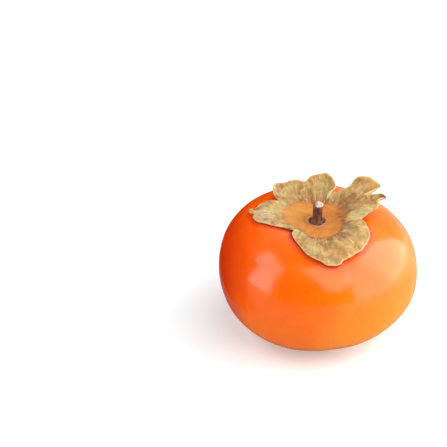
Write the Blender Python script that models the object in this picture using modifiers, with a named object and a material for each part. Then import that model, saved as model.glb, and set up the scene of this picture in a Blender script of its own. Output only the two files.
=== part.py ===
# A ripe persimmon of the flat, squat kind, upright on its blossom end: the fruit, its dried
# four-lobed calyx, the stub of stem in the middle and the style remnant underneath.
# Metres, +Z up; -Y is the front. The origin is under the middle of the fruit, on the floor.
from math import acos, atan2, cos, pi, radians, sin

import bmesh
import bpy
from mathutils import Matrix, Vector
from mathutils.bvhtree import BVHTree

CONTACT_GAP = 0.0003       # left between pieces that touch
MERGE = 0.00005

# Fruit
FRUIT_RADIUS = 0.039       # half of the widest diameter
HALF_HEIGHT = 0.0264       # from the widest level to the top and to the blossom end
FULLNESS = 0.050           # how far the shoulders stand outside an ellipse
TOP_FULLNESS = 0.026       # more of that at the top and less at the base
LEFT_SHOULDER = 0.021      # and more on the left than on the right, at the top
LEFT_BASE = 0.055          # and at the base
SQUARENESS = 0.006         # faint four-sidedness
LEAN = radians(3.5)        # the fruit's axis leans a little to the right
FLAT_DEPTH = 0.0008        # how far the lowest point is pressed up into a small flat spot
DIMPLE_DEPTH = 0.0047      # the calyx sits in this
DIMPLE_RADIUS = 0.023
CROWN = Vector((0.0002, -0.0010))   # the stem's place beside the middle of the fruit
BLOSSOM_DEPTH = 0.0022     # the little pit round the style remnant
BLOSSOM_RADIUS = 0.0042
FRUIT_SEGMENTS = 64
FRUIT_RINGS = 44
RING_CROWDING = 0.6        # 0 spaces the rings evenly, more crowds them at both ends

# Calyx
DISC_RADIUS = 0.0118       # the level middle, where the lobes start
DISC_LIFT = 0.0004         # clearance over the dimple's floor
CALYX_THICKNESS = 0.0011
STEM_HOLE = 0.0029
RIM_WIDTH = 0.0050         # over this width a lobe turns from the level disc to its own slope
NOTCH_REACH = 0.0135       # how far the calyx reaches between two lobes
CALYX_STEPS = 120
CALYX_RINGS = 12
# The lobes, going round from the front one. Directions and spreads are in degrees about the
# stem, the spreads and how full each side is given clockwise side first. Slopes are in degrees,
# after the rim and at the tip.
LOBES = (
    {"towards": -77, "spread": (56, 84), "fullness": (1.5, 1.4), "reach": 0.0288, "slopes": (12, -32)},
    {"towards": 32, "spread": (29, 44), "fullness": (3.0, 2.4), "reach": 0.0290, "slopes": (27, 26)},
    {"towards": 107, "spread": (38, 44), "fullness": (4.0, 4.0), "reach": 0.0252, "slopes": (32, 40)},
    {"towards": 168, "spread": (34, 44), "fullness": (2.5, 1.4), "reach": 0.0266, "slopes": (6, -8)},
)

# Stem
STEM_RADIUS = 0.00195
STEM_FOOT_RADIUS = 0.0025
STEM_HEIGHT = 0.0078       # above the calyx disc
STEM_LEAN = radians(5)
STEM_STEPS = 24

# Style remnant
STYLE_RADIUS = 0.0011
STYLE_LENGTH = 0.0014
STYLE_STEPS = 16


def smoothstep(low, high, value):
    t = min(1.0, max(0.0, (value - low) / (high - low)))
    return t * t * (3 - 2 * t)


def clear_scene():
    for old in list(bpy.data.objects):
        bpy.data.objects.remove(old)


def material(name, colour, roughness, coat=0.0):
    made = bpy.data.materials.new(name)
    made.use_nodes = True
    shader = made.node_tree.nodes["Principled BSDF"]
    shader.inputs["Base Color"].default_value = (*colour, 1)
    shader.inputs["Roughness"].default_value = roughness
    shader.inputs["Coat Weight"].default_value = coat
    return made


def new_object(name, bm, collection, finish):
    bmesh.ops.recalc_face_normals(bm, faces=bm.faces)
    mesh = bpy.data.meshes.new(name)
    bm.to_mesh(mesh)
    bm.free()
    mesh.materials.append(finish)
    mesh.shade_smooth()
    made = bpy.data.objects.new(name, mesh)
    collection.objects.link(made)
    return made


def turned(name, profile, steps, collection, finish):
    """A solid turned about Z from a profile that runs down its outer side, axis to axis."""
    mesh = bpy.data.meshes.new(name)
    edges = [(i, i + 1) for i in range(len(profile) - 1)]
    mesh.from_pydata([(radius, 0, height) for radius, height in profile], edges, [])
    mesh.materials.append(finish)
    made = bpy.data.objects.new(name, mesh)
    collection.objects.link(made)
    screw = made.modifiers.new("turn", "SCREW")
    screw.steps = steps
    screw.render_steps = steps
    screw.use_merge_vertices = True
    screw.merge_threshold = MERGE
    return made


def fruit_point(direction):
    """Where the fruit's skin lies in a direction from its middle, before it leans."""
    down = acos(max(-1.0, min(1.0, direction.z)))
    down -= RING_CROWDING * sin(2 * down) / 2
    around = atan2(direction.y, direction.x)
    upness = cos(down)
    left = LEFT_SHOULDER * max(upness, 0) + LEFT_BASE * max(-upness, 0)
    full = FULLNESS + TOP_FULLNESS * upness - left * cos(around)
    swell = 1 + full * sin(2 * down) ** 2
    squareness = 1 + SQUARENESS * cos(4 * around + pi / 3) * sin(down) ** 2
    radius = FRUIT_RADIUS * sin(down) * swell * squareness
    return Vector((radius * cos(around), radius * sin(around), HALF_HEIGHT * upness * swell))


def centre_over_origin(bm):
    """Moves a mesh sideways until the middle of its box is over the origin."""
    low = [min(v.co[i] for v in bm.verts) for i in range(2)]
    high = [max(v.co[i] for v in bm.verts) for i in range(2)]
    shift = Vector((-(low[0] + high[0]) / 2, -(low[1] + high[1]) / 2, 0))
    bmesh.ops.translate(bm, vec=shift, verts=bm.verts)


def fruit_mesh():
    """The fruit on the floor, with the place of its blossom pit."""
    bm = bmesh.new()
    bmesh.ops.create_uvsphere(bm, u_segments=FRUIT_SEGMENTS, v_segments=FRUIT_RINGS, radius=1)
    blossom = min(bm.verts, key=lambda v: v.co.z)
    lean = Matrix.Rotation(LEAN, 3, "Y")
    for vert in bm.verts:
        vert.co = lean @ fruit_point(vert.co.normalized())
    centre_over_origin(bm)
    pit_at = blossom.co.xy
    flat_level = min(v.co.z for v in bm.verts) + FLAT_DEPTH
    for vert in bm.verts:
        if vert.co.z > 0:
            from_crown = (vert.co.xy - CROWN).length
            dip = 1 - smoothstep(0.3 * DIMPLE_RADIUS, DIMPLE_RADIUS, from_crown)
            vert.co.z -= DIMPLE_DEPTH * dip
        elif vert.co.z < flat_level:
            from_pit = (vert.co.xy - pit_at).length
            pit = 1 - smoothstep(1.5 * STYLE_RADIUS, BLOSSOM_RADIUS, from_pit)
            vert.co.z = flat_level + BLOSSOM_DEPTH * pit
    bmesh.ops.translate(bm, vec=(0, 0, -flat_level), verts=bm.verts)
    return bm, pit_at


def skin_height(skin, x, y):
    """Height of the fruit's upper skin at a place beside the crown."""
    hit = skin.ray_cast(Vector((CROWN.x + x, CROWN.y + y, 1)), Vector((0, 0, -1)))[0]
    return hit.z if hit else 0.0


def angle_between(a, b):
    """Signed difference of two directions in degrees, between -180 and 180."""
    return (a - b + 180) % 360 - 180


def lobe_reach(around):
    """How far the calyx reaches in a direction, along its surface."""
    reach = NOTCH_REACH
    for lobe in LOBES:
        off = angle_between(around, lobe["towards"])
        side = 1 if off > 0 else 0
        off = abs(off) / lobe["spread"][side]
        if off < 1:
            drawn_out = (lobe["reach"] - NOTCH_REACH) * (1 - off ** lobe["fullness"][side])
            reach = max(reach, NOTCH_REACH + drawn_out)
    return reach


def lobe_slopes(around):
    """Slopes after the rim and at the tip in a direction, blended between the lobes."""
    for i, lobe in enumerate(LOBES):
        after = LOBES[(i + 1) % len(LOBES)]
        step = (after["towards"] - lobe["towards"]) % 360
        along = (around - lobe["towards"]) % 360
        if along <= step:
            t = smoothstep(0, 1, along / step)
            pairs = zip(lobe["slopes"], after["slopes"])
            return [radians(here + (there - here) * t) for here, there in pairs]
    return [0.0, 0.0]


def calyx_spoke(around, rings):
    """Radius and height above the disc at each ring in one direction."""
    reach = lobe_reach(around)
    rim_slope, tip_slope = lobe_slopes(around)
    fine = 8                       # integration steps for each ring
    radius, height, points = STEM_HOLE, 0.0, [(STEM_HOLE, 0.0)]
    step = (reach - STEM_HOLE) / (rings * fine)
    for i in range(rings * fine):
        along = STEM_HOLE + step * (i + 0.5)
        slope = rim_slope * smoothstep(DISC_RADIUS, DISC_RADIUS + RIM_WIDTH, along)
        bend = smoothstep(DISC_RADIUS + RIM_WIDTH, max(reach, DISC_RADIUS + 2 * RIM_WIDTH), along)
        slope += (tip_slope - rim_slope) * bend
        radius += step * cos(slope)
        height += step * sin(slope)
        if i % fine == fine - 1:
            points.append((radius, height))
    return points


def make_calyx(skin, collection):
    """One leathery sheet: a level disc with a hole for the stem, drawn out into four lobes."""
    disc_level = skin_height(skin, 0, 0)
    for i in range(12):
        turn = 2 * pi * i / 12
        edge = skin_height(skin, DISC_RADIUS * cos(turn), DISC_RADIUS * sin(turn))
        disc_level = max(disc_level, edge)
    disc_level += DISC_LIFT
    bm = bmesh.new()
    line = [bm.verts.new((STEM_HOLE * (1 + i), 0, 0)) for i in range(CALYX_RINGS + 1)]
    edges = [bm.edges.new(pair) for pair in zip(line, line[1:])]
    bmesh.ops.spin(bm, geom=line + edges, cent=(0, 0, 0), axis=(0, 0, 1), angle=2 * pi,
                   steps=CALYX_STEPS, use_merge=True)
    spokes = {}
    for vert in bm.verts:
        ring = round(vert.co.xy.length / STEM_HOLE) - 1
        spoke = round(atan2(vert.co.y, vert.co.x) / (2 * pi) * CALYX_STEPS) % CALYX_STEPS
        if spoke not in spokes:
            spokes[spoke] = calyx_spoke(360 * spoke / CALYX_STEPS, CALYX_RINGS)
        radius, height = spokes[spoke][ring]
        turn = 2 * pi * spoke / CALYX_STEPS
        x, y = radius * cos(turn), radius * sin(turn)
        level = max(disc_level + height, skin_height(skin, x, y) + DISC_LIFT)
        vert.co = (CROWN.x + x, CROWN.y + y, level)
    finish = material("dried_calyx", (0.50, 0.38, 0.18), 0.75)
    calyx = new_object("calyx", bm, collection, finish)
    if calyx.data.polygons[0].normal.z < 0:
        calyx.data.flip_normals()
    solid = calyx.modifiers.new("thickness", "SOLIDIFY")
    solid.thickness = CALYX_THICKNESS
    solid.offset = 1
    return disc_level + CALYX_THICKNESS


def make_stem(skin, disc_top, collection):
    """The stub of stem: a flared foot in the calyx's hole and a cut top."""
    bottom = skin_height(skin, 0, 0) + CONTACT_GAP + STEM_FOOT_RADIUS * sin(STEM_LEAN)
    length = disc_top + STEM_HEIGHT - bottom
    flare = 0.0030
    profile = [
        (0, length),
        (STEM_RADIUS * 0.86, length),
        (STEM_RADIUS, length - 0.0004),
        (STEM_RADIUS * 0.94, length * 0.6),
        (STEM_RADIUS * 1.05, flare),
        (STEM_FOOT_RADIUS * 0.95, flare * 0.45),
        (STEM_FOOT_RADIUS, flare * 0.15),
        (STEM_FOOT_RADIUS * 0.9, 0),
        (0, 0),
    ]
    finish = material("stem_bark", (0.14, 0.05, 0.03), 0.7)
    stem = turned("stem", profile, STEM_STEPS, collection, finish)
    stem.location = (CROWN.x, CROWN.y, bottom)
    stem.rotation_euler.y = STEM_LEAN


def make_style_tip(skin, at, collection):
    """The dry remnant of the style, pointing down in its pit, clear of the floor."""
    ceiling = skin.ray_cast(Vector((at.x, at.y, -1)), Vector((0, 0, 1)))[0].z
    top = ceiling - CONTACT_GAP
    bottom = top - STYLE_LENGTH
    profile = [
        (0, top),
        (STYLE_RADIUS, top),
        (STYLE_RADIUS * 0.8, top - STYLE_LENGTH * 0.35),
        (STYLE_RADIUS * 0.4, bottom + STYLE_LENGTH * 0.15),
        (STYLE_RADIUS * 0.2, bottom),
        (0, bottom),
    ]
    finish = material("style_remnant", (0.05, 0.03, 0.02), 0.8)
    style = turned("style_tip", profile, STYLE_STEPS, collection, finish)
    style.location = (at.x, at.y, 0)


def main():
    clear_scene()
    collection = bpy.data.collections.new("persimmon")
    bpy.context.scene.collection.children.link(collection)
    bm, pit_at = fruit_mesh()
    skin = BVHTree.FromBMesh(bm)
    new_object("fruit", bm, collection, material("persimmon_skin", (0.95, 0.16, 0.01), 0.25, 0.5))
    disc_top = make_calyx(skin, collection)
    make_stem(skin, disc_top, collection)
    make_style_tip(skin, pit_at, collection)


main()
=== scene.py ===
from math import atan2, cos, exp, pi, radians, sin

import bpy
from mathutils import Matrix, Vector, noise
from mathutils.bvhtree import BVHTree


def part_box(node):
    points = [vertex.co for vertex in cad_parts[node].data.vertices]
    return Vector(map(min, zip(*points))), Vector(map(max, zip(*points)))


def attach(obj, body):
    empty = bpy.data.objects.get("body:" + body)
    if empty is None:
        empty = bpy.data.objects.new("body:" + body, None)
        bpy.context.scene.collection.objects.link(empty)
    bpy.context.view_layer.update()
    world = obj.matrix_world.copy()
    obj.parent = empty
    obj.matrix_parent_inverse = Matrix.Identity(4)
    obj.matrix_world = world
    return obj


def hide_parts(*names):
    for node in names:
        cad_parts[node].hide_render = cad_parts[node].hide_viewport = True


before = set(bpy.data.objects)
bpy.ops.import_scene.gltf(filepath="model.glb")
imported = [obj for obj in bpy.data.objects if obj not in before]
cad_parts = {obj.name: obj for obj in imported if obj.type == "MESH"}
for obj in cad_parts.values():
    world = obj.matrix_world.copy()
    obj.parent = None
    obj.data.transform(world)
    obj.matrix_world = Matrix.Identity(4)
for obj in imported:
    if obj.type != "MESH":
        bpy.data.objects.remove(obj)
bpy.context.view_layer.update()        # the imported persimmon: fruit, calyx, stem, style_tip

mm = 0.001

# the crown, where the stem comes out, with the height of the visible disc; the calyx is laid out round it
crown = Vector((0.2, -1.0, 48.9)) * mm
fruitLow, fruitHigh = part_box("fruit")
fruitMiddle = (fruitLow + fruitHigh) / 2


def deselectAll():
    if bpy.context.mode != "OBJECT":
        bpy.ops.object.mode_set(mode="OBJECT")
    bpy.ops.object.select_all(action="DESELECT")


def pick(piece):
    deselectAll()
    piece.select_set(True)
    bpy.context.view_layer.objects.active = piece


def editAll():
    bpy.ops.object.mode_set(mode="EDIT")
    bpy.ops.mesh.select_all(action="SELECT")


def named(name):
    piece = bpy.context.active_object
    piece.name = name
    piece.data.name = name
    return piece


def addModifier(piece, kind, **settings):
    modifier = piece.modifiers.new(kind.lower(), kind)
    for key, value in settings.items():
        setattr(modifier, key, value)
    return modifier


def applyAll(piece):
    pick(piece)
    for modifier in list(piece.modifiers):
        bpy.ops.object.modifier_apply(modifier=modifier.name)


def ease(low, high, value):
    t = min(1.0, max(0.0, (value - low) / (high - low)))
    return t * t * (3 - 2 * t)


def finishPiece(piece, material, slotName, *nodes):
    pick(piece)
    bpy.ops.object.transform_apply(location=True, rotation=True, scale=True)
    bpy.ops.object.shade_smooth()
    piece.data.materials.clear()
    piece.data.materials.append(material)
    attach(piece, "root")
    if nodes:
        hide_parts(*nodes)


def newMaterial(name):
    # a material, its node tree, its shader, and the Object coordinates that its pattern is read from
    material = bpy.data.materials.new(name)
    material.use_nodes = True
    tree = material.node_tree
    place = tree.nodes.new("ShaderNodeTexCoord").outputs["Object"]
    return material, tree, tree.nodes["Principled BSDF"], place


def feed(tree, node, sources):
    # each input gets a link from another node's output, or a plain value
    for key, source in sources.items():
        if hasattr(source, "is_linked"):
            tree.links.new(source, node.inputs[key])
        else:
            node.inputs[key].default_value = source


def addNode(tree, kind, inputs=None, **settings):
    node = tree.nodes.new(kind)
    for key, value in settings.items():
        setattr(node, key, value)
    feed(tree, node, inputs or {})
    return node


def addRamp(tree, value, stops):
    # a colour by a value, through stops of position and colour
    ramp = addNode(tree, "ShaderNodeValToRGB", {0: value})
    while len(ramp.color_ramp.elements) < len(stops):
        ramp.color_ramp.elements.new(0.5)
    for element, (position, colour) in zip(ramp.color_ramp.elements, stops):
        element.position = position
        element.color = (*colour, 1)
    return ramp.outputs[0]


def addSplit(tree, vector):
    return addNode(tree, "ShaderNodeSeparateXYZ", {0: vector}).outputs


def addJoin(tree, *values):
    return addNode(tree, "ShaderNodeCombineXYZ", dict(enumerate(values))).outputs[0]


def addLayer(tree, name):
    # the three channels of a colour attribute
    layer = addNode(tree, "ShaderNodeVertexColor", layer_name=name)
    return addNode(tree, "ShaderNodeSeparateColor", {0: layer.outputs["Color"]}).outputs


def addVector(tree, operation, *vectors):
    return addNode(tree, "ShaderNodeVectorMath", dict(enumerate(vectors)), operation=operation).outputs


def addNoise(tree, vector, **inputs):
    return addNode(tree, "ShaderNodeTexNoise", {"Vector": vector, **inputs}).outputs["Fac"]


def addMix(tree, factor, first, second, blend="MIX"):
    mix = addNode(tree, "ShaderNodeMix", data_type="RGBA", blend_type=blend)
    under, over = ((*colour, 1) if isinstance(colour, tuple) else colour for colour in (first, second))
    feed(tree, mix, {0: factor, 6: under, 7: over})
    return mix.outputs[2]


def addMath(tree, operation, first, second=None, clamp=False):
    inputs = {0: first} if second is None else {0: first, 1: second}
    return addNode(tree, "ShaderNodeMath", inputs, operation=operation, use_clamp=clamp).outputs[0]


def addRange(tree, value, low, high, toLow=0.0, toHigh=1.0):
    inputs = {0: value, 1: low, 2: high, 3: toLow, 4: toHigh}
    return addNode(tree, "ShaderNodeMapRange", inputs, clamp=True).outputs[0]


def addBump(tree, height, strength, distance, under=None):
    inputs = {"Height": height, "Strength": strength, "Distance": distance}
    if under is not None:
        inputs["Normal"] = under
    return addNode(tree, "ShaderNodeBump", inputs).outputs["Normal"]


def mottleGroup():
    # soft blotches and fine grain from Object coordinates, for skin, calyx, stem and floor alike
    tree = bpy.data.node_groups.new("mottle", "ShaderNodeTree")
    face = tree.interface
    face.new_socket("Vector", in_out="INPUT", socket_type="NodeSocketVector")
    for label, value in (("Blotch Scale", 60.0), ("Grain Scale", 900.0), ("Warp", 0.3)):
        face.new_socket(label, in_out="INPUT", socket_type="NodeSocketFloat").default_value = value
    for label in ("Blotch", "Grain"):
        face.new_socket(label, in_out="OUTPUT", socket_type="NodeSocketFloat")
    given = tree.nodes.new("NodeGroupInput").outputs
    blotch = addNoise(tree, given["Vector"], Scale=given["Blotch Scale"], Detail=4.0, Roughness=0.55,
                      Distortion=given["Warp"])
    grain = addNoise(tree, given["Vector"], Scale=given["Grain Scale"], Detail=3.0, Roughness=0.6)
    addNode(tree, "NodeGroupOutput", {"Blotch": blotch, "Grain": grain})
    return tree


mottle = mottleGroup()


def addMottle(tree, vector, blotchScale, grainScale, warp=0.3):
    # the mottle's two outputs, blotch and grain
    inputs = {"Vector": vector, "Blotch Scale": blotchScale, "Grain Scale": grainScale, "Warp": warp}
    return addNode(tree, "ShaderNodeGroup", inputs, node_tree=mottle).outputs


fruitPlan = {
    "startSize": 60 * mm,       # the cube that is rounded into the skin
    "facesPerSide": 64,
    "squat": 0.7,
    "mergeWithin": 0.01 * mm,
    "lumpScale": 17 * mm,       # size of the soft lumps in the flesh
    "lumpHeight": 0.30 * mm,
    "dentScale": 7 * mm,
    "dentShift": (7, 3, 5),     # so that the dents and lumps don't coincide
    "dentHeight": 0.06 * mm,
    "keepFlat": 1.2 * mm,       # the flat spot stays flat up to this height
    "flatFade": 6 * mm,         # and the lumps reach their full height this far above it
    "smoothing": 5,
    "skinOffset": 0.12 * mm,    # makes up for what the smoothing takes away
    "shadeFull": 0.9 * mm,      # painted shade, a deeper red on the skin, this near to the calyx
    "shadeReach": 2.9 * mm,
    # the finish: how ripe it looks, with painted shade that darkens the left side, from the left to the
    # right and from the foot to the shoulder
    "leftToRight": (-45 * mm, 45 * mm, 0.0, 0.80),
    "footToShoulder": (0.0, 45 * mm, 0.48, 0.05),
    "wander": 0.14,
    "hues": (
        (0.0, (0.80, 0.062, 0.0008)),
        (0.30, (0.88, 0.106, 0.0010)),
        (0.60, (0.90, 0.158, 0.0015)),
        (1.0, (0.91, 0.265, 0.004)),
    ),
    "lenticelScale": 620.0,
    "lenticelShare": 0.16,
    "lenticel": (0.98, 0.42, 0.10),
    "grainShare": 0.07,
    "grain": (0.62, 0.045, 0.003),
    # painted shade: a deep red over the far left side
    "paintedLeftShadeSpan": (-38.5 * mm, -26.0 * mm),
    "paintedLeftShade": (0.50, 0.012, 0.0003),
    "shadeShare": 0.85,
    "shade": (0.62, 0.046, 0.0005),
    "roughness": (0.15, 0.21),
    "shadeRoughness": 0.06,
}


def makeFruit():
    # a smoothed copy of the solid is the form that the skin is drawn over
    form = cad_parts["fruit"].copy()
    form.data = form.data.copy()
    form.parent = None
    bpy.context.scene.collection.objects.link(form)
    pick(form)
    editAll()
    bpy.ops.mesh.remove_doubles(threshold=fruitPlan["mergeWithin"])
    bpy.ops.mesh.tris_convert_to_quads()
    bpy.ops.object.mode_set(mode="OBJECT")
    addModifier(form, "SUBSURF", levels=2, render_levels=2)
    applyAll(form)
    deselectAll()
    bpy.ops.mesh.primitive_cube_add(size=fruitPlan["startSize"], location=fruitMiddle)
    fruit = named("fruitSkin")
    bpy.ops.object.transform_apply(location=True)
    editAll()
    bpy.ops.mesh.subdivide(number_cuts=fruitPlan["facesPerSide"] - 1)
    bpy.ops.transform.tosphere(value=1.0)
    bpy.ops.transform.resize(value=(1.0, 1.0, fruitPlan["squat"]), center_override=fruitMiddle)
    bpy.ops.object.mode_set(mode="OBJECT")
    addModifier(fruit, "SHRINKWRAP", target=form, wrap_method="NEAREST_SURFACEPOINT",
                wrap_mode="OUTSIDE_SURFACE", offset=fruitPlan["skinOffset"])
    addModifier(fruit, "SMOOTH", factor=0.5, iterations=fruitPlan["smoothing"])
    applyAll(fruit)
    bpy.data.objects.remove(form)
    # soft lumps and shallow dents, none where it stands
    mesh = fruit.data
    bpy.context.view_layer.update()
    normals = [vertex.normal.copy() for vertex in mesh.vertices]
    dentShift = Vector(fruitPlan["dentShift"])
    for vertex, normal in zip(mesh.vertices, normals):
        lump = noise.noise(vertex.co / fruitPlan["lumpScale"]) * fruitPlan["lumpHeight"]
        dent = noise.noise(vertex.co / fruitPlan["dentScale"] + dentShift) * fruitPlan["dentHeight"]
        free = ease(0, fruitPlan["flatFade"], vertex.co.z - fruitPlan["keepFlat"])
        vertex.co += normal * (lump + dent) * free
        vertex.co.z = max(vertex.co.z, 0.0)
    print("fruit skin:", len(mesh.polygons), "faces")
    return fruit


def paintShadeUnderCalyx(fruit, calyx):
    # painted shade: the skin is painted a deeper red where the calyx shades it, and this fades out past
    # the lobes' margins
    lobes = BVHTree.FromObject(calyx, bpy.context.evaluated_depsgraph_get())
    layer = fruit.data.attributes.new("underCalyx", "FLOAT_COLOR", "POINT")
    full, reach = fruitPlan["shadeFull"], fruitPlan["shadeReach"]
    for i, vertex in enumerate(fruit.data.vertices):
        far = lobes.find_nearest(vertex.co - calyx.location, reach)[3]
        shade = 0.0 if far is None else 1 - ease(full, reach, far)
        layer.data[i].color = (shade, shade, shade, 1)
    print("skin: reddened under the calyx")


def skinMaterial():
    plan = fruitPlan
    material, tree, shader, place = newMaterial("persimmonSkin")
    blotch, grain = addMottle(tree, place, 38.0, 420.0, 0.4)
    split = addSplit(tree, place)
    # redder towards the left and the shoulder, yellower to the right and below; on the left this is
    # partly painted shade on the shaded side
    sideways = addRange(tree, split["X"], *plan["leftToRight"])
    upward = addRange(tree, split["Z"], *plan["footToShoulder"])
    wander = addRange(tree, blotch, 0.3, 0.7, -plan["wander"], plan["wander"])
    ripeness = addMath(tree, "ADD", sideways, upward)
    ripeness = addMath(tree, "ADD", ripeness, wander, clamp=True)
    colour = addRamp(tree, ripeness, plan["hues"])
    # faint pale lenticels and a fine darker grain
    dots = addNode(tree, "ShaderNodeTexVoronoi", {"Vector": place, "Scale": plan["lenticelScale"]})
    dotMask = addRange(tree, dots.outputs["Distance"], 0.10, 0.26, 1.0, 0.0)
    dotMask = addMath(tree, "MULTIPLY", dotMask, addRange(tree, grain, 0.50, 0.62))
    dotMask = addMath(tree, "MULTIPLY", dotMask, plan["lenticelShare"])
    colour = addMix(tree, dotMask, colour, plan["lenticel"])
    grainMask = addRange(tree, grain, 0.42, 0.30, 0.0, plan["grainShare"])
    colour = addMix(tree, grainMask, colour, plan["grain"])
    # painted shade: deep red on the far left side, and close under the calyx where the lobes shade the
    # skin
    paintedLeftShade = addRange(tree, split["X"], *plan["paintedLeftShadeSpan"], 1.0, 0.0)
    colour = addMix(tree, paintedLeftShade, colour, plan["paintedLeftShade"])
    shade = addMath(tree, "MULTIPLY", addLayer(tree, "underCalyx")[0], plan["shadeShare"])
    colour = addMix(tree, shade, colour, plan["shade"])
    gloss = addRange(tree, blotch, 0.3, 0.7, *plan["roughness"])
    dulled = addMath(tree, "MULTIPLY", shade, plan["shadeRoughness"])
    feed(tree, shader, {
        "Base Color": colour,
        "Roughness": addMath(tree, "ADD", gloss, dulled),
        "IOR": 1.5,
        "Subsurface Weight": 0.12,
        "Subsurface Radius": (1.0, 0.25, 0.05),
        "Subsurface Scale": 4 * mm,
        "Normal": addBump(tree, grain, 0.05, 0.3 * mm),
    })
    return material


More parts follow.
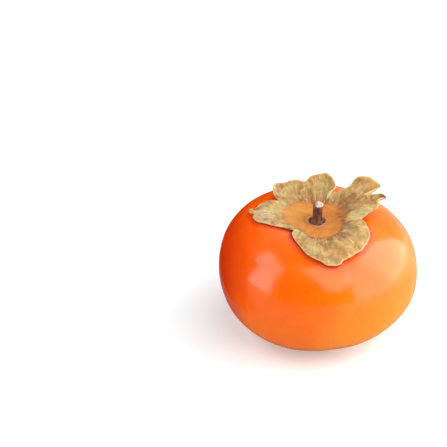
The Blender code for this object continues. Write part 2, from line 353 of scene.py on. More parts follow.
# Outlines run counter-clockwise round the stem, seen from above, in millimetres: x and y from the
# crown, height over the disc, and how far the lobe arches up (or cups, below zero) on the way there.
calyxPlan = {
    "columns": 300,
    "rows": 22,
    "discRings": (2.3, 2.5, 2.7, 2.9, 3.1, 3.35, 3.65, 4.0, 4.6),   # then evenly out to the crease
    "outerRings": 5,
    "ringCentre": (-0.35, -0.90),
    "ringShift": (3.5, 9.0),     # rings inside the first radius stand on it, past the second on the crown
    # the disc's middle: height, then the radii between which it comes and goes
    "pit": (-1.0, 2.5, 3.2),
    "lip": (0.20, 2.9, 3.3, 3.4, 4.1),
    "ripples": (0.035, 4.0, 5.5),
    "rippleTurns": 4.6,
    "bowlFrom": 4.5,
    # the crease between disc and lobes: bearing in degrees, radius, height
    "crease": (
        (-172, 12.0, 0.5), (-146, 10.4, 0.35), (-126, 9.6, 0.1), (-101, 12.0, -0.1), (-87, 13.1, -0.2),
        (-75, 13.4, -0.2), (-56, 12.3, -0.1), (-26, 10.2, 0.2), (-2, 9.4, 0.4), (22, 9.8, 0.3),
        (44, 9.6, 0.3), (68, 10.0, 0.5), (108, 10.6, 0.7), (135, 12.8, 1.1), (163, 12.9, 0.8),
    ),
    "notches": (
        (-10.2, -7.7, 0.5, 0.0), (16.6, -0.9, 0.8, 0.0), (3.6, 11.8, 1.2, 0.0), (-15.0, 9.9, 2.2, 0.0),
    ),
    "front": (
        (-9.3, -9.5, 1.4, 0.5), (-9.8, -11.9, 1.6, 0.8), (-9.0, -14.7, 1.4, 1.1),
        (-7.2, -18.8, 1.0, 1.5), (-4.7, -23.0, 0.5, 1.8), (-2.4, -24.9, 0.0, 2.0),
        (0.6, -26.7, -0.6, 2.1), (3.6, -28.0, -1.2, 2.2), (6.6, -28.2, -1.6, 2.2),
        (8.3, -27.4, -1.6, 2.2), (9.1, -26.2, -1.3, 2.2), (9.7, -25.2, -1.2, 2.2),
        (12.7, -23.4, -1.0, 2.1), (15.8, -20.2, -0.7, 2.0), (18.6, -15.1, -0.2, 1.8),
        (19.7, -10.3, 0.2, 1.5), (19.0, -5.8, 0.6, 1.0), (17.9, -2.8, 0.8, 0.5),
    ),
    "right": (
        (17.8, 0.2, 1.0, 0.1), (19.1, 1.0, 1.2, 0.2), (21.0, 2.1, 1.6, 0.3), (22.8, 3.0, 2.3, 0.4),
        (23.5, 4.3, 3.5, 0.4), (23.5, 5.7, 4.8, 0.3), (23.5, 6.8, 5.6, 0.2), (25.0, 7.4, 5.5, 0.0),
        (26.7, 7.9, 4.9, -0.2), (26.2, 9.0, 5.3, -0.1), (24.7, 10.2, 5.6, 0.0), (22.4, 10.3, 5.5, 0.0),
        (18.0, 9.8, 5.1, 0.0), (20.0, 11.5, 6.2, 0.0), (22.2, 12.6, 6.6, 0.0), (24.5, 13.6, 6.8, -0.1),
        (24.0, 15.3, 7.0, -0.3), (20.6, 17.5, 8.0, -0.5), (16.9, 18.6, 8.0, -0.5),
        (15.2, 17.9, 7.6, -0.4), (13.2, 15.6, 6.2, -0.2), (11.6, 14.7, 5.2, 0.2),
        (8.6, 14.9, 4.2, 0.4), (6.6, 14.8, 3.4, 0.5), (4.8, 13.9, 2.5, 0.5), (3.9, 12.9, 1.8, 0.3),
    ),
    "back": (
        (4.2, 12.9, 2.6, -0.4), (5.7, 13.8, 4.4, -0.6), (7.0, 15.2, 5.7, -0.7), (6.5, 17.3, 6.5, -0.8),
        (4.7, 19.7, 7.4, -0.8), (2.7, 21.1, 7.7, -0.8), (-0.1, 21.5, 7.5, -0.7),
        (-2.5, 20.6, 7.1, -0.7), (-4.3, 19.4, 6.7, -0.7), (-5.5, 18.4, 6.2, -0.6),
        (-8.1, 18.7, 6.0, -0.6), (-11.3, 18.2, 5.9, -0.6), (-14.5, 17.9, 5.7, -0.6),
        (-16.9, 17.1, 5.4, -0.5), (-17.6, 15.4, 4.9, -0.4), (-17.6, 13.4, 4.1, -0.3),
        (-16.6, 11.6, 3.1, -0.1),
    ),
    "left": (
        (-17.6, 9.8, 2.4, 0.1), (-20.0, 9.6, 2.3, 0.2), (-22.3, 8.2, 1.9, 0.3), (-24.4, 5.5, 1.3, 0.3),
        (-26.4, 5.0, 1.2, 0.1), (-27.1, 4.2, 1.1, 0.1), (-26.0, 3.0, 1.1, 0.1), (-24.7, 2.2, 1.4, 0.3),
        (-25.1, -0.6, 1.6, 0.4), (-23.2, -4.0, 1.8, 0.5), (-20.0, -5.9, 1.9, 0.5),
        (-16.8, -7.1, 1.7, 0.4), (-13.3, -7.5, 1.3, 0.3), (-11.4, -7.6, 0.9, 0.1),
    ),
    "lobeRise": 1.35,            # above one, a lobe rises mostly near its margin
    "archShape": 0.75,           # below one, the arch is highest near the crease
    "ragged": 0.16,              # small bites and bumps along the margin
    "raggedSizes": (1.4, 0.6),
    # buckle, pleats, flutter and pucker over the sheet: how wide or how many, and how high
    "waveSizes": (6.5, 5.2, 13, 1.7),
    "waveHeights": (0.50, 0.60, 0.42, 0.26),
    "clearance": 0.80,           # the upper side stays this far over the fruit
    "landing": 0.6,              # and settles on it over this height
    "thickness": 0.62,
    "marginShare": 0.55,         # of the thickness, at the lobes' margin
    # margins that roll up: lobe, first and last outline point, width, turn in degrees
    "curls": (
        ("left", 3, 6, 1.6, 60),
    ),
    # folds pressed into the sheet: half width, then points along the fold as x, y, height
    "folds": (
        (1.5, (11.6, 0.9, 0.6), (12.9, 2.3, 1.3), (14.6, 2.9, 1.8), (16.8, 3.1, 2.1),
         (19.2, 2.6, 1.7), (22.8, 3.6, 0.5)),
        (1.0, (4.5, 10.2, 0.5), (4.9, 12.2, 1.1), (6.0, 13.3, 0.7)),
        (0.9, (-2.6, 10.6, -0.95), (-4.6, 19.6, -0.5)),
        (2.2, (1.0, 12.0, 0.75), (2.2, 20.0, 0.4)),
        (1.8, (-9.5, 12.0, 0.35), (-11.5, 18.0, 0.2)),
        (0.55, (6.2, 4.4, -0.35), (8.9, -2.4, -0.2)),
        (0.8, (8.2, 9.4, -0.50), (14.5, 12.2, -0.3)),
        (1.1, (10.5, 7.6, 0.45), (18.5, 9.6, 0.25)),
        (1.1, (11.5, 11.6, 0.45), (19.5, 16.0, 0.25)),
        (1.3, (-13.5, 2.4, 0.45), (-24.0, 2.2, 0.25)),
        (0.9, (-13.0, -3.6, -0.35), (-21.5, -3.0, -0.2)),
        (0.8, (-14.0, 7.0, -0.30), (-21.0, 6.6, -0.2)),
        (0.9, (0.8, -14.2, -0.35), (1.4, -24.5, -0.2)),
        (0.8, (8.6, -13.0, -0.35), (13.0, -19.5, -0.2)),
        (0.7, (-5.4, -10.8, -0.35), (-6.4, -16.5, -0.2)),
        (1.1, (5.4, -14.8, 0.35), (7.4, -26.0, 0.2)),
        (0.9, (12.4, -9.0, -0.30), (18.0, -11.5, -0.2)),
    ),
    # soft dabs of colour: x, y, radius, strength
    "dabs": {
        "brown": (
            (9.5, 8.8, 3.6, 0.8), (13.8, 9.6, 3.2, 0.6), (7.0, 11.6, 2.2, 0.6), (-2.4, 12.2, 2.2, 0.8),
            (-3.4, 15.6, 1.3, 0.9), (2.6, 12.4, 2.0, 0.5), (18.0, 11.0, 2.4, 0.4),
            (-7.5, 12.4, 2.0, 0.4), (7.8, -25.0, 1.8, 0.4), (0.8, -14.6, 0.9, 0.7),
            (12.2, -8.0, 3.0, 0.7), (8.6, -13.4, 2.6, 0.65), (-1.4, 20.8, 1.4, 0.5),
            (4.6, 19.6, 1.4, 0.6), (5.0, -22.0, 6.0, 0.50), (15.0, -15.0, 5.0, 0.35),
        ),
        "green": (
            (-18.0, 2.0, 6.0, 0.70), (-13.5, 7.6, 3.4, 0.7), (-7.8, -10.6, 3.2, 0.7),
            (-1.5, -21.0, 4.0, 0.45), (17.4, -8.6, 3.4, 0.5), (3.2, 16.5, 4.4, 0.55),
            (-11.0, 15.0, 3.6, 0.4), (13.2, 0.4, 2.2, 0.9), (15.6, 1.0, 2.2, 1.0),
            (18.0, 1.3, 1.8, 1.0), (20.4, 2.4, 1.4, 0.9), (22.4, 3.2, 1.1, 0.7), (4.8, 12.4, 1.8, 0.8),
        ),
        "ochre": (
            (20.2, 15.8, 3.8, 0.8), (1.6, 20.4, 2.6, 0.7), (9.2, -20.6, 4.6, 0.5),
            (4.4, 13.6, 1.8, 0.8), (-25.0, 4.0, 1.8, 0.5), (-13.0, -1.0, 2.6, 0.4),
            (22.0, 6.2, 2.4, 0.4),
        ),
        # dark dabs: withered and torn tips, and painted shade in the notch between the left and front
        # lobes and along the crease
        "dark": (
            (26.4, 8.4, 2.7, 1.0), (24.7, 9.4, 1.3, 0.7), (24.6, 13.0, 1.1, 0.8),
            (-27.1, 4.4, 0.8, 0.6), (-11.0, -7.9, 1.5, 1.0), (-12.9, -7.8, 0.9, 0.7),
            (9.3, -1.2, 1.0, 0.8), (8.6, 1.4, 0.9, 0.7), (7.8, 3.4, 0.8, 0.5), (12.2, -5.2, 2.8, 0.42),
            (13.2, -9.4, 2.6, 0.40), (9.8, -13.2, 2.4, 0.38), (4.6, -15.0, 2.0, 0.30),
            (6.4, -26.0, 1.8, 0.35),
        ),
        "pale": (
            (-20.5, 0.5, 5.0, 0.45), (-18.5, -6.4, 1.8, 0.9), (-22.0, -4.8, 1.6, 0.8),
            (-15.0, -7.3, 1.6, 0.9), (6.0, -27.0, 2.4, 0.4), (-4.0, -22.0, 1.6, 0.4),
            (16.6, -0.4, 1.2, 0.8), (19.4, 1.4, 1.2, 0.6), (13.0, 1.2, 1.2, 0.5),
            (-16.0, 14.0, 2.4, 0.4),
        ),
        "pink": (
            (15.0, 12.8, 3.6, 0.7), (10.6, -13.4, 3.8, 0.6), (20.0, 5.6, 2.8, 0.5),
            (-1.0, -17.0, 3.0, 0.4),
        ),
    },
    # how the dabs show, from the first to the last: share, texture, and from where to where in it
    "stains": (
        ("green", 0.80, "streak", 0.30, 0.50),
        ("ochre", 0.80, "streak", 0.35, 0.60),
        ("pink", 0.70, "fibre", 0.35, 0.60),
        ("pale", 0.85, "fibre", 0.35, 0.60),
        ("brown", 0.90, "streak", 0.40, 0.58),
    ),
    "colours": {
        # khaki and tan on top, paler and greener underneath, orange-tan on the disc
        "top": (
            (0.32, (0.27, 0.120, 0.046)), (0.44, (0.43, 0.240, 0.084)),
            (0.56, (0.54, 0.345, 0.126)), (0.70, (0.63, 0.460, 0.190)),
        ),
        "below": ((0.35, (0.60, 0.50, 0.25)), (0.65, (0.76, 0.66, 0.40))),
        "disc": ((0.0, (0.48, 0.158, 0.024)), (0.5, (0.60, 0.218, 0.036)), (1.0, (0.68, 0.285, 0.060))),
        "green": (0.52, 0.45, 0.17),
        "ochre": (0.56, 0.33, 0.085),
        "pink": (0.52, 0.29, 0.17),
        "pale": (0.66, 0.55, 0.42),
        "brown": (0.34, 0.150, 0.028),
        "violet": (0.20, 0.090, 0.060),
        "vein": (0.70, 0.56, 0.30),
        # painted shade for the crease at the lobes' foot
        "foot": (0.22, 0.098, 0.045),
        "cream": (0.78, 0.50, 0.22),
        "discShade": (0.40, 0.118, 0.024),
        "discYellow": (0.60, 0.27, 0.050),
        # painted shade: the dark ring round the pit, and below, the near-black pit
        "halo": (0.36, 0.130, 0.040),
        "lip": (0.66, 0.38, 0.17),
        "pit": (0.055, 0.024, 0.014),
        "withered": (0.12, 0.075, 0.050),
    },
}


def catmullRom(a, b, c, d, t):
    return 0.5 * ((2 * b) + (c - a) * t + (2 * a - 5 * b + 4 * c - d) * t * t
                  + (3 * b - a - 3 * c + d) * t * t * t)


def finePath(points, steps):
    # a smooth curve through the given points
    points = [Vector(p) for p in points]
    ends = [points[0] * 2 - points[1], *points, points[-1] * 2 - points[-2]]
    path = []
    for i in range(len(points) - 1):
        path += [catmullRom(*ends[i:i + 4], step / steps) for step in range(steps)]
    return path + [points[-1]]


def evenly(path, count):
    # count + 1 points at even spaces along a path
    lengths = [0.0]
    for a, b in zip(path, path[1:]):
        lengths.append(lengths[-1] + (b - a).length)
    result, i = [], 0
    for step in range(count + 1):
        wanted = lengths[-1] * step / count
        while i < len(path) - 2 and lengths[i + 1] < wanted:
            i += 1
        share = (wanted - lengths[i]) / max(lengths[i + 1] - lengths[i], 1e-9)
        result.append(path[i].lerp(path[i + 1], min(1.0, share)))
    return result


def creaseAt(angle):
    # radius and height of the crease at a bearing
    crease = calyxPlan["crease"]
    turn = (angle * 180 / pi - crease[0][0]) % 360
    for i in range(len(crease)):
        here = (crease[i][0] - crease[0][0]) % 360
        beyond = crease[(i + 1) % len(crease)]
        ahead = (beyond[0] - crease[0][0]) % 360 or 360
        if here <= turn <= ahead:
            t = ease(0, 1, (turn - here) / (ahead - here))
            return (crease[i][1] * (1 - t) + beyond[1] * t, crease[i][2] * (1 - t) + beyond[2] * t)


def notchAngles():
    return [atan2(notch[1], notch[0]) for notch in calyxPlan["notches"]]


def calyxColumns():
    # for each column the bearing of its point on the crease, and its point on the outline
    plan = calyxPlan
    notches, angles = plan["notches"], notchAngles()
    coarse, fine = plan["raggedSizes"]
    columns = []
    for i, name in enumerate(("front", "right", "back", "left")):
        start, end = angles[i], angles[(i + 1) % 4]
        if end <= start:
            end += 2 * pi
        count = round(plan["columns"] * (end - start) / (2 * pi))
        if i == 3:
            count = plan["columns"] - len(columns)
        outline = evenly(finePath((notches[i], *plan[name], notches[(i + 1) % 4]), 24), count)
        for step in range(count):
            point = outline[step]
            bite = noise.noise(Vector((point.x, point.y, 2)) / coarse)
            bite += 0.6 * noise.noise(Vector((point.x, point.y, 8)) / fine)
            fromNotch = min(step, count - step) / count
            outward = point.xy.normalized() * bite * plan["ragged"] * ease(0, 0.1, fromNotch)
            point = Vector((point.x + outward.x, point.y + outward.y, point.z, point.w))
            columns.append((start + (end - start) * step / count, point))
    return columns


def discHeight(radius, edge, edgeHeight):
    # a pit round the stem, a thin raised lip, then a shallow bowl out to the crease
    plan = calyxPlan
    depth, floorEdge, pitEdge = plan["pit"]
    rise, lipFoot, lipTop, lipEnd, lipGone = plan["lip"]
    swing, ripplesFrom, ripplesFull = plan["ripples"]
    pit = depth * (1 - ease(floorEdge, pitEdge, radius))
    lip = rise * ease(lipFoot, lipTop, radius) * (1 - ease(lipEnd, lipGone, radius))
    ripples = swing * sin(radius * plan["rippleTurns"]) * ease(ripplesFrom, ripplesFull, radius)
    return pit + lip + ripples + edgeHeight * ease(plan["bowlFrom"], edge, radius)


def lineDistance(point, start, end):
    # distance from a line piece, and the share of the way along it
    way = end - start
    share = min(1.0, max(0.0, (point - start).dot(way) / way.length_squared))
    return (point - start - way * share).length, share


def foldHeight(point):
    total = 0.0
    for width, *line in calyxPlan["folds"]:
        nearest = None
        for start, end in zip(line, line[1:]):
            far, share = lineDistance(point, Vector(start[:2]), Vector(end[:2]))
            if nearest is None or far < nearest[0]:
                nearest = (far, start[2] * (1 - share) + end[2] * share)
        far, height = nearest
        if far < 3 * width:
            total += height * exp(-(far / width) ** 2)
    return total


def calyxWaves(x, y, along):
    # slow buckling, radial pleats and fine puckers, growing towards the margin
    wide, pleats, flutters, fine = calyxPlan["waveSizes"]
    heights = calyxPlan["waveHeights"]
    angle, radius = atan2(y, x), (x * x + y * y) ** 0.5
    buckle = noise.noise(Vector((x, y, 4.0)) / wide) * heights[0]
    pleat = noise.noise(Vector((cos(angle) * pleats, sin(angle) * pleats, radius * 0.05))) * heights[1]
    flutter = Vector((cos(angle) * flutters, sin(angle) * flutters, radius * 0.10 + 9))
    flutter = noise.noise(flutter) * heights[2]
    pucker = noise.noise(Vector((x, y, 11)) / fine) * heights[3]
    return (buckle * ease(0.1, 0.8, along) + (pleat + flutter) * ease(0.0, 0.5, along)
            + pucker * ease(0.02, 0.3, along))


def curlPaths():
    paths = []
    for name, first, last, width, turn in calyxPlan["curls"]:
        outline = [Vector(p[:2]) for p in calyxPlan[name]]
        path = finePath(outline[first:last + 1], 8)
        paths.append((name, path, width, radians(turn)))
    return paths


def curled(name, flat, height, paths):
    # points near a rolling margin turn up and over, on a circle
    for lobe, path, width, turn in paths:
        if lobe != name:
            continue
        best = None
        for i, (a, b) in enumerate(zip(path, path[1:])):
            far, share = lineDistance(flat, a, b)
            if best is None or far < best[0]:
                best = (far, (i + share) / (len(path) - 1), a.lerp(b, share), (b - a).normalized())
        far, place, edge, way = best
        if far >= width or not 0 < place < 1:
            continue
        strength = ease(0.0, 0.22, place) * ease(0.0, 0.22, 1 - place)
        inward = Vector((-way.y, way.x))     # outlines run counter-clockwise
        angle = turn * max(strength, 0.02)
        rolled = width - (flat - edge).dot(inward)
        bend = width / angle
        flat = edge + inward * width - inward * bend * sin(rolled / bend)
        height += bend * (1 - cos(rolled / bend))
    return flat, height


def dabStrength(kind, x, y):
    left = 1.0
    for dabX, dabY, radius, strength in calyxPlan["dabs"][kind]:
        far = ((x - dabX) ** 2 + (y - dabY) ** 2) ** 0.5 / radius
        left *= 1 - strength * (1 - ease(0.25, 1.25, far))
    return 1 - left


def makeCalyx(fruit):
    plan = calyxPlan
    skin = BVHTree.FromObject(fruit, bpy.context.evaluated_depsgraph_get())
    columns, paths = calyxColumns(), curlPaths()
    angles = notchAngles()
    deselectAll()
    bpy.ops.mesh.primitive_circle_add(vertices=plan["columns"], radius=plan["discRings"][0] * mm,
                                      fill_type="NOTHING", location=crown)
    calyx = named("calyxLobes")
    editAll()
    # plain circles at first, a millimetre apart past the disc's inner rings
    inner = len(plan["discRings"])
    widest = plan["discRings"][-1]
    radii = [*plan["discRings"], *(widest + i + 1 for i in range(plan["outerRings"] + plan["rows"]))]
    for near, far in zip(radii, radii[1:]):
        bpy.ops.mesh.extrude_edges_move()
        bpy.ops.transform.resize(value=(far / near, far / near, 1), center_override=crown)
    bpy.ops.object.mode_set(mode="OBJECT")
    mesh = calyx.data
    step = 2 * pi / plan["columns"]
    facts = []
    for vertex in mesh.vertices:
        ring = min(range(len(radii)), key=lambda i: abs(radii[i] * mm - vertex.co.xy.length))
        column = round((atan2(vertex.co.y, vertex.co.x) % (2 * pi)) / step) % plan["columns"]
        angle, outline = columns[column]
        edge, edgeHeight = creaseAt(angle)
        ray = Vector((cos(angle), sin(angle)))
        crease = ray * edge
        if ring < inner + plan["outerRings"]:
            radius, along = radii[ring], 0.0
            if ring >= inner:
                radius = widest + (edge - widest) * (ring - inner + 1) / plan["outerRings"]
            near = 1 - ease(*plan["ringShift"], radius)
            flat = ray * radius + Vector(plan["ringCentre"]) * near
            height = discHeight(radius, edge, edgeHeight)
            disc = radius / edge
        else:
            along = (ring - inner - plan["outerRings"] + 1) / plan["rows"]
            flat = crease.lerp(outline.xy, along)
            arch = sin(pi * along ** plan["archShape"])
            rise = (outline.z - edgeHeight) * along ** plan["lobeRise"]
            height = edgeHeight + rise + outline.w * arch
            disc = 1 + along
        height += calyxWaves(flat.x, flat.y, along) + foldHeight(flat)
        lobe = "front"
        for name, start in zip(("right", "back", "left"), angles[1:]):
            if (angle - angles[0]) % (2 * pi) >= (start - angles[0]) % (2 * pi):
                lobe = name
        paint = flat.copy()
        flat, height = curled(lobe, flat, height, paths)
        place = Vector((crown.x + flat.x * mm, crown.y + flat.y * mm, 1))
        under = skin.ray_cast(place, Vector((0, 0, -1)))[0]
        level = crown.z + height * mm
        if under and disc > 0.5:
            lowest = under.z + plan["clearance"] * mm
            gap = (level - lowest) / (plan["landing"] * mm)
            if gap < 1:      # a soft landing on the skin instead of a hard one
                soft = 0.25 * (gap + 1) ** 2 if gap > -1 else 0.0
                level = lowest + plan["landing"] * mm * max(gap, soft)
        vertex.co = (flat.x * mm, flat.y * mm, level - crown.z)
        facts.append((along, disc, paint))
    if mesh.polygons[0].normal.z < 0:
        pick(calyx)
        editAll()
        bpy.ops.mesh.flip_normals()
        bpy.ops.object.mode_set(mode="OBJECT")
    thin = calyx.vertex_groups.new(name="thin")
    for i, (along, disc, paint) in enumerate(facts):
        thin.add([i], 1 - (1 - plan["marginShare"]) * ease(0.2, 1.0, along), "REPLACE")
    addModifier(calyx, "SOLIDIFY", thickness=plan["thickness"] * mm, offset=-1.0, vertex_group="thin",
                thickness_vertex_group=0.0, use_even_offset=False)
    applyAll(calyx)
    # the upper side comes first, then the under side, in the same order
    count = len(facts)
    sheet = mesh.attributes.new("calyxMap", "FLOAT_COLOR", "POINT")
    for i in range(len(mesh.vertices)):
        along, disc, paint = facts[i % count]
        sheet.data[i].color = (along, disc / 2, 0.0 if i < count else 1.0, 1)
    layers = {"calyxPaint": ("brown", "green", "ochre"), "calyxMarks": ("dark", "pale", "pink")}
    for layer, kinds in layers.items():
        colours = mesh.attributes.new(layer, "FLOAT_COLOR", "POINT")
        for i in range(len(mesh.vertices)):
            paint = facts[i % count][2]
            colours.data[i].color = (*(dabStrength(kind, paint.x, paint.y) for kind in kinds), 1)
    addModifier(calyx, "SUBSURF", levels=1, render_levels=1)
    applyAll(calyx)
    print("calyx:", len(mesh.polygons), "faces")
    return calyx


def calyxMaterial():
    plan, colours = calyxPlan, calyxPlan["colours"]
    material, tree, shader, place = newMaterial("driedCalyx")
    split = addSplit(tree, addVector(tree, "SUBTRACT", place, tuple(crown))[0])
    flat = addJoin(tree, split["X"], split["Y"])
    radius = addVector(tree, "LENGTH", flat)["Value"]
    # fibres run outwards: the pattern is read round a drum, so it has no seam
    turn = addSplit(tree, addVector(tree, "NORMALIZE", flat)[0])
    drum = addJoin(tree, turn["X"], turn["Y"], addMath(tree, "MULTIPLY", radius, 15.0))
    fibre = addNoise(tree, drum, Scale=24.0, Detail=5.0, Roughness=0.62, Distortion=0.25)
    streak = addNoise(tree, drum, Scale=11.0, Detail=5.0, Roughness=0.68, Distortion=0.5)
    blotch, grain = addMottle(tree, place, 330.0, 1500.0, 0.6)
    along, disc, under = addLayer(tree, "calyxMap")
    brown, green, ochre = addLayer(tree, "calyxPaint")
    dark, pale, pink = addLayer(tree, "calyxMarks")

    # mottled lobes, with the painted dabs broken up by the fibres and streaks
    colour = addRamp(tree, blotch, colours["top"])
    strengths = {"green": green, "ochre": ochre, "pink": pink, "pale": pale, "brown": brown}
    textures = {"fibre": fibre, "streak": streak}
    for kind, share, texture, low, high in plan["stains"]:
        mask = addMath(tree, "MULTIPLY", strengths[kind], share)
        mask = addMath(tree, "MULTIPLY", mask, addRange(tree, textures[texture], low, high, 0.25, 1.0))
        colour = addMix(tree, mask, colour, colours[kind])

    # violet-brown streaks fan out from the crease: partly the calyx's own colour, partly painted shade on
    # the wall that rises from the crease
    near = addRange(tree, along, 0.0, 0.06)
    far = addRange(tree, along, 0.22, 0.62, 1.0, 0.0)
    fan = addMath(tree, "MULTIPLY", near, far)
    lines = addRange(tree, streak, 0.42, 0.56)
    fine = addRange(tree, fibre, 0.42, 0.58, 0.40, 1.0)
    violet = addMath(tree, "MULTIPLY", fan, addMath(tree, "MULTIPLY", lines, fine))
    violet = addMath(tree, "MULTIPLY", violet, addRange(tree, green, 0.1, 0.8, 0.9, 0.1))
    colour = addMix(tree, violet, colour, colours["violet"])
    # and pale veins between them
    colour = addMix(tree, addRange(tree, fibre, 0.58, 0.70, 0.0, 0.40), colour, colours["vein"])
    # painted shade in the crease, where the lobes rise from the disc
    foot = addRange(tree, along, 0.0, 0.18, 1.0, 0.0)
    foot = addMath(tree, "MULTIPLY", foot, addRange(tree, streak, 0.40, 0.60, 0.45, 1.0))
    foot = addMath(tree, "MULTIPLY", foot, addRange(tree, green, 0.1, 0.8, 1.0, 0.2))
    colour = addMix(tree, foot, colour, colours["foot"])
    fibreTone = addRange(tree, fibre, 0.32, 0.66, 0.74, 1.16)
    colour = addMix(tree, 0.85, colour, addJoin(tree, fibreTone, fibreTone, fibreTone), "MULTIPLY")
    colour = addMix(tree, under, colour, addRamp(tree, streak, colours["below"]))
    # the margin is a thin cream line
    colour = addMix(tree, addRange(tree, along, 0.93, 0.99, 0.0, 0.65), colour, colours["cream"])

    # the smooth disc ends sharply in front, and blends into the lobes at the sides and behind
    edge = addMath(tree, "ADD", disc, addRange(tree, streak, 0.3, 0.7, -0.03, 0.03))
    blend = addRange(tree, split["Y"], -6.0 * mm, 0.0, 0.05, 0.16)
    past = addMath(tree, "DIVIDE", addMath(tree, "SUBTRACT", edge, 0.47), blend)
    onDisc = addRange(tree, past, 0.0, 1.0, 1.0, 0.0)
    onDisc = addMath(tree, "MULTIPLY", onDisc, addMath(tree, "SUBTRACT", 1.0, under))
    ripple = addMath(tree, "SINE", addMath(tree, "MULTIPLY", radius, 4200.0))
    discTone = addMath(tree, "ADD", blotch, addMath(tree, "MULTIPLY", ripple, 0.018))
    discColour = addRamp(tree, addRange(tree, discTone, 0.30, 0.70), colours["disc"])
    # browner to the right, yellower to the left, with painted shade as a dark ring round the pit, and a
    # lighter lip
    for mask, tint in (
        (addRange(tree, split["X"], 1.0 * mm, 9.0 * mm, 0.0, 0.60), "discShade"),
        (addRange(tree, split["X"], -10.0 * mm, -3.5 * mm, 0.55, 0.0), "discYellow"),
        (addRange(tree, disc, 0.17, 0.27, 0.55, 0.0), "halo"),
        (addRange(tree, disc, 0.155, 0.172, 0.40, 0.0), "lip"),
    ):
        discColour = addMix(tree, mask, discColour, colours[tint])
    colour = addMix(tree, onDisc, colour, discColour)
    # painted shade: the pit round the stem is near black
    colour = addMix(tree, addRange(tree, disc, 0.115, 0.150, 1.0, 0.0), colour, colours["pit"])
    # withered, torn tips darken, and so does painted shade in the left notch and along the crease
    withered = addMath(tree, "MULTIPLY", dark, addRange(tree, under, 0.0, 1.0, 0.9, 0.3))
    colour = addMix(tree, withered, colour, colours["withered"])
    # the disc's relief is weaker than the lobes'
    relief = addMath(tree, "MULTIPLY", fibre, addRange(tree, onDisc, 0.0, 1.0, 1.0, 0.35))
    normal = addBump(tree, relief, 0.60, 0.4 * mm)
    feed(tree, shader, {
        "Base Color": colour,
        "Roughness": addRange(tree, onDisc, 0.0, 1.0, 0.78, 0.48),
        "Specular IOR Level": 0.3,
        "Subsurface Weight": 0.05,
        "Subsurface Radius": (1.0, 0.6, 0.25),
        "Subsurface Scale": 0.8 * mm,
        "Normal": addBump(tree, grain, 0.30, 0.15 * mm, normal),
    })
    return material


stemPlan = {
    "place": (-0.40, -0.95),
    "radius": 1.92,
    "height": 7.8,         # over the disc
    "sink": 1.0,           # how far it goes down into the pit
    "lean": radians(3.6),
    "sides": 48,
    # share of the height, share of the radius
    "levels": (
        (0.0, 1.42), (0.06, 1.41), (0.11, 1.34), (0.16, 1.16), (0.23, 1.03), (0.32, 0.97),
        (0.44, 0.95), (0.56, 0.96), (0.68, 0.98), (0.80, 1.02), (0.90, 1.04), (0.96, 1.03),
        (0.99, 0.98),
    ),
    # rings of the cut end, from outside in: width, step up or down
    "cutRings": ((0.18, 0.08), (0.30, -0.18), (0.45, 0.10), (0.40, -0.12)),
    "ridges": 0.085,       # share of the radius
    "cracks": 0.045,
    "roughCut": 0.28,
    "bark": (
        (0.30, (0.045, 0.016, 0.011)),
        (0.48, (0.15, 0.046, 0.026)),
        (0.66, (0.29, 0.108, 0.060)),
    ),
    "cut": ((0.38, (0.56, 0.36, 0.26)), (0.58, (0.93, 0.82, 0.72))),
    "lap": (-1.2, 0.2),    # the bark laps over the cut's left side
}


def makeStem():
    plan = stemPlan
    total = (plan["height"] + plan["sink"]) * mm
    bottom = crown + Vector((*plan["place"], -plan["sink"])) * mm
    deselectAll()
    bpy.ops.mesh.primitive_circle_add(vertices=plan["sides"], radius=plan["radius"] * mm,
                                      fill_type="NGON", location=bottom)
    stem = named("stemStub")
    editAll()
    bpy.ops.transform.resize(value=(plan["levels"][0][1],) * 3, center_override=bottom)
    for (low, before), (high, after) in zip(plan["levels"], plan["levels"][1:]):
        bpy.ops.mesh.extrude_region_move(TRANSFORM_OT_translate={"value": (0, 0, (high - low) * total)})
        bpy.ops.transform.resize(value=(after / before, after / before, 1), center_override=bottom)
    for width, rise in plan["cutRings"]:
        bpy.ops.mesh.inset(thickness=width * mm, depth=rise * mm)
    bpy.ops.mesh.poke()
    bpy.ops.object.mode_set(mode="OBJECT")
    addModifier(stem, "SUBSURF", levels=2, render_levels=2)
    applyAll(stem)
    mesh = stem.data
    for vertex in mesh.vertices:
        x, y, z = vertex.co / mm
        angle, radius = atan2(y, x), (x * x + y * y) ** 0.5
        ridge = noise.noise(Vector((cos(angle) * 3.4, sin(angle) * 3.4, z * 0.22)))
        crack = noise.noise(Vector((cos(angle) * 7.5, sin(angle) * 7.5, z * 0.8 + 5)))
        swell = 1 + (plan["ridges"] * ridge + plan["cracks"] * crack) * ease(0.6, 1.6, radius)
        rough = noise.noise(Vector((x, y, 0)) * 1.6) * plan["roughCut"] * ease(0.93, 0.99, z * mm / total)
        vertex.co = (x * swell * mm, y * swell * mm, (z + rough) * mm)
        vertex.co.x += z * mm * sin(plan["lean"])
    print("stem:", len(mesh.polygons), "faces")
    return stem


def stemMaterial():
    plan = stemPlan
    material, tree, shader, place = newMaterial("stemBark")
    # the bark's pattern is drawn out along the stem
    drawnOut = addNode(tree, "ShaderNodeMapping", {"Vector": place, "Scale": (1.0, 1.0, 0.22)})
    blotch, grain = addMottle(tree, drawnOut.outputs[0], 900.0, 3200.0)
    split = addSplit(tree, place)
    top = crown.z + plan["height"] * mm
    onTop = addRange(tree, split["Z"], top - 0.5 * mm, top - 0.1 * mm)
    lap = addRange(tree, split["X"], *(crown.x + reach * mm for reach in plan["lap"]))
    onTop = addMath(tree, "MULTIPLY", onTop, lap)
    bark, cut = addRamp(tree, blotch, plan["bark"]), addRamp(tree, grain, plan["cut"])
    feed(tree, shader, {
        "Base Color": addMix(tree, onTop, bark, cut),
        "Roughness": addRange(tree, blotch, 0.3, 0.7, 0.50, 0.75),
        "Normal": addBump(tree, blotch, 0.6, 0.3 * mm),
    })
    return material


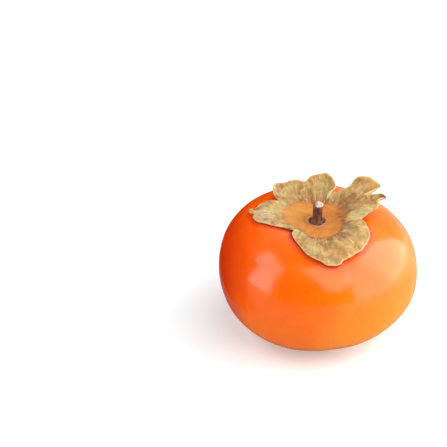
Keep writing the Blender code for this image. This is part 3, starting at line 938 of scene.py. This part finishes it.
stylePlan = {
    "sides": 20,
    "radius": 1.0,
    "levels": ((0.30, 1.10), (0.55, 0.80), (0.80, 0.45), (1.0, 0.22)),   # shares of the height and radius
    "ribs": 0.16,
    "crumple": 0.14,
    "tones": ((0.35, (0.015, 0.009, 0.006)), (0.65, (0.10, 0.055, 0.03))),
}


def makeStyle():
    plan = stylePlan
    low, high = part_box("style_tip")
    middle = (low + high) / 2
    top = Vector((middle.x, middle.y, high.z))
    deselectAll()
    bpy.ops.mesh.primitive_circle_add(vertices=plan["sides"], radius=plan["radius"] * mm,
                                      fill_type="NGON", location=top)
    style = named("styleRemnant")
    editAll()
    reach, wide = 0.0, 1.0
    for share, scale in plan["levels"]:
        drop = (share - reach) * (high.z - low.z)
        bpy.ops.mesh.extrude_region_move(TRANSFORM_OT_translate={"value": (0, 0, -drop)})
        bpy.ops.transform.resize(value=(scale / wide, scale / wide, 1), center_override=top)
        reach, wide = share, scale
    bpy.ops.mesh.select_all(action="SELECT")
    bpy.ops.mesh.normals_make_consistent(inside=False)
    bpy.ops.object.mode_set(mode="OBJECT")
    addModifier(style, "SUBSURF", levels=2, render_levels=2)
    applyAll(style)
    for vertex in style.data.vertices:
        angle = atan2(vertex.co.y, vertex.co.x)
        swell = 1 + plan["ribs"] * cos(4 * angle) + plan["crumple"] * noise.noise(vertex.co / (0.5 * mm))
        vertex.co.x *= swell
        vertex.co.y *= swell
    print("style remnant:", len(style.data.polygons), "faces")
    return style


def styleMaterial():
    material, tree, shader, place = newMaterial("styleDark")
    blotch, grain = addMottle(tree, place, 1500.0, 5000.0, 0.5)
    feed(tree, shader, {
        "Base Color": addRamp(tree, blotch, stylePlan["tones"]),
        "Roughness": addRange(tree, grain, 0.3, 0.7, 0.6, 0.9),
        "Normal": addBump(tree, grain, 0.5, 0.2 * mm),
    })
    return material


studioPlan = {
    "floorSize": 6.0,
    "floorDrop": 0.05 * mm,   # just under the fruit
    "floorTones": ((0.3, (0.80, 0.86, 0.875)), (0.7, (0.84, 0.90, 0.915))),
    # what glossy things see of the floor, from under the fruit to its right
    "floorMirrored": ((0.0, (0.26, 0.255, 0.25)), (1.0, (1.0, 0.99, 0.98))),
    "floorGlow": (0.22, 1.0),
    "floorGlowTint": (0.95, 1.0, 1.0, 1),
    "worldTones": ((0.0, (0.0, 0.0, 0.0)), (0.45, (0.02, 0.02, 0.02)), (1.0, (0.60, 0.60, 0.60))),
    "panelTint": (1.0, 0.985, 0.97),
    "cardTones": ((0.3, (0.30, 0.030, 0.001)), (0.7, (0.40, 0.045, 0.001))),
    "cameraDistance": 0.600,
    "elevation": 36.0,        # degrees
    "lens": 122.3,
    "turnLeft": 3.54,         # degrees: the fruit stands right of the frame's middle
    "tipUp": 1.66,            # and below it
}

# soft panels round the fruit: middle in metres, size (across, up), the way they face, brightness
panels = {
    "rightBack": {"middle": (0.75, 0.32, 0.58), "size": (0.76, 1.14), "faces": (-1, 0, 0), "glow": 3.9},
    "rightFront": {"middle": (0.75, -0.38, 0.58), "size": (0.64, 1.14), "faces": (-1, 0, 0), "glow": 3.0},
    "leftLow": {"middle": (-0.75, -0.38, 0.33), "size": (0.54, 0.62), "faces": (1, 0, 0), "glow": 3.5},
    "leftHigh": {"middle": (-0.75, -0.16, 0.98), "size": (0.90, 0.90), "faces": (1, 0, 0), "glow": 2.9},
    "overhead": {"middle": (0.52, -0.90, 1.00), "size": (0.80, 1.60), "faces": (0, 0, -1), "turn": 24,
                 "glow": 2.6},
    "backTop": {"middle": (0.35, 0.62, 0.85), "size": (0.45, 0.40), "faces": (-0.35, -0.62, -0.85),
                "glow": 2.4},
}

# warm dark cards keep the fruit's left side deep orange; only reflections meet them
cards = {
    "cardBeside": {"middle": (-0.060, 0.009, 0.055), "stands": (0, pi / 2, 0), "size": (1, 0.100, 0.110),
                   "topBack": 0.038},
    "cardBehind": {"middle": (-0.064, 0.070, 0.043), "stands": (pi / 2, 0, 0), "size": (0.104, 1, 0.086)},
}


def makeFloor():
    plan = studioPlan
    deselectAll()
    bpy.ops.mesh.primitive_plane_add(size=plan["floorSize"], location=(0, 0, -plan["floorDrop"]))
    floor = named("studioFloor")
    material, tree, shader, place = newMaterial("paleFloor")
    colour = addRamp(tree, addMottle(tree, place, 4.0, 300.0)["Blotch"], plan["floorTones"])
    # a matt floor: glossy things mirror it only weakly
    mirrored = tree.nodes.new("ShaderNodeLightPath").outputs["Is Glossy Ray"]
    toRight = addRange(tree, addSplit(tree, place)["X"], 0.0, 0.25)
    faint = addRamp(tree, toRight, plan["floorMirrored"])
    # and it glows a little to the eye, so that its shadows stay light
    seen = tree.nodes.new("ShaderNodeLightPath").outputs["Is Camera Ray"]
    glow = addRange(tree, addVector(tree, "LENGTH", place)["Value"], 0.12, 0.60, *plan["floorGlow"])
    feed(tree, shader, {
        "Base Color": addMix(tree, mirrored, colour, faint),
        "Emission Color": plan["floorGlowTint"],
        "Emission Strength": addMath(tree, "MULTIPLY", seen, glow),
        "Roughness": 0.6,
        "Specular IOR Level": 0.2,
    })
    floor.data.materials.append(material)


def makePanel(name, plan):
    size = plan["size"]
    light = bpy.data.lights.new(name, "AREA")
    light.shape = "RECTANGLE"
    light.size, light.size_y = size
    light.color = studioPlan["panelTint"]
    light.energy = plan["glow"] * pi * size[0] * size[1]
    panel = bpy.data.objects.new(name, light)
    bpy.context.scene.collection.objects.link(panel)
    panel.location = plan["middle"]
    panel.rotation_euler = Vector(plan["faces"]).to_track_quat("-Z", "Y").to_euler()
    panel.rotation_euler.rotate_axis("Z", radians(plan.get("turn", 0)))
    panel.visible_camera = False


def makeCard(name, plan, material):
    deselectAll()
    bpy.ops.mesh.primitive_plane_add(size=1, location=plan["middle"], rotation=plan["stands"])
    bpy.ops.transform.resize(value=plan["size"])
    bpy.ops.object.transform_apply(location=False, rotation=True, scale=True)
    card = named(name)
    for vertex in card.data.vertices:
        if vertex.co.z > 0:
            vertex.co.y += plan.get("topBack", 0.0)
    card.data.materials.append(material)
    card.visible_camera = False
    card.visible_shadow = False
    card.visible_diffuse = False


def cardMaterial():
    material, tree, shader, place = newMaterial("warmCard")
    blotch = addMottle(tree, place, 20.0, 300.0)["Blotch"]
    colour = addRamp(tree, blotch, studioPlan["cardTones"])
    feed(tree, shader, {"Base Color": colour, "Roughness": 0.9, "Specular IOR Level": 0.0})
    return material


def makeWorld():
    # dark in front, brighter behind, and plain white to look at
    world = bpy.data.worlds.new("studio")
    bpy.context.scene.world = world
    world.use_nodes = True
    tree = world.node_tree
    split = addSplit(tree, tree.nodes.new("ShaderNodeTexCoord").outputs["Generated"])
    around = addRamp(tree, addRange(tree, split["Y"], -1.0, 1.0), studioPlan["worldTones"])
    seen = tree.nodes.new("ShaderNodeLightPath").outputs["Is Camera Ray"]
    colour = addMix(tree, seen, around, (1.0, 1.0, 1.0))
    feed(tree, tree.nodes["Background"], {"Color": colour, "Strength": 1.0})


def makeStudio():
    makeFloor()
    material = cardMaterial()
    for name, plan in cards.items():
        makeCard(name, plan, material)
    for name, plan in panels.items():
        makePanel(name, plan)
    makeWorld()
    print("studio:", len(panels), "panels and", len(cards), "cards")


def makeCamera():
    plan = studioPlan
    camera = bpy.data.objects.new("camera", bpy.data.cameras.new("camera"))
    bpy.context.scene.collection.objects.link(camera)
    rise = radians(plan["elevation"])
    camera.location = fruitMiddle + Vector((0, -cos(rise), sin(rise))) * plan["cameraDistance"]
    camera.rotation_euler = (pi / 2 - rise, 0, 0)
    camera.rotation_euler.rotate_axis("Y", radians(plan["turnLeft"]))
    camera.rotation_euler.rotate_axis("X", radians(plan["tipUp"]))
    camera.data.lens = plan["lens"]
    camera.data.clip_start = 0.01
    bpy.context.scene.camera = camera
    print("camera:", plan["lens"], "mm lens,", plan["elevation"], "degrees up")


bpy.context.scene.view_settings.view_transform = "Standard"
makeCamera()
makeStudio()
fruitSkin = makeFruit()
calyxLobes = makeCalyx(fruitSkin)
paintShadeUnderCalyx(fruitSkin, calyxLobes)
finishPiece(fruitSkin, skinMaterial(), "skin", "fruit")
finishPiece(calyxLobes, calyxMaterial(), "calyx", "calyx")
finishPiece(makeStem(), stemMaterial(), "stem", "stem")
finishPiece(makeStyle(), styleMaterial(), "style", "style_tip")
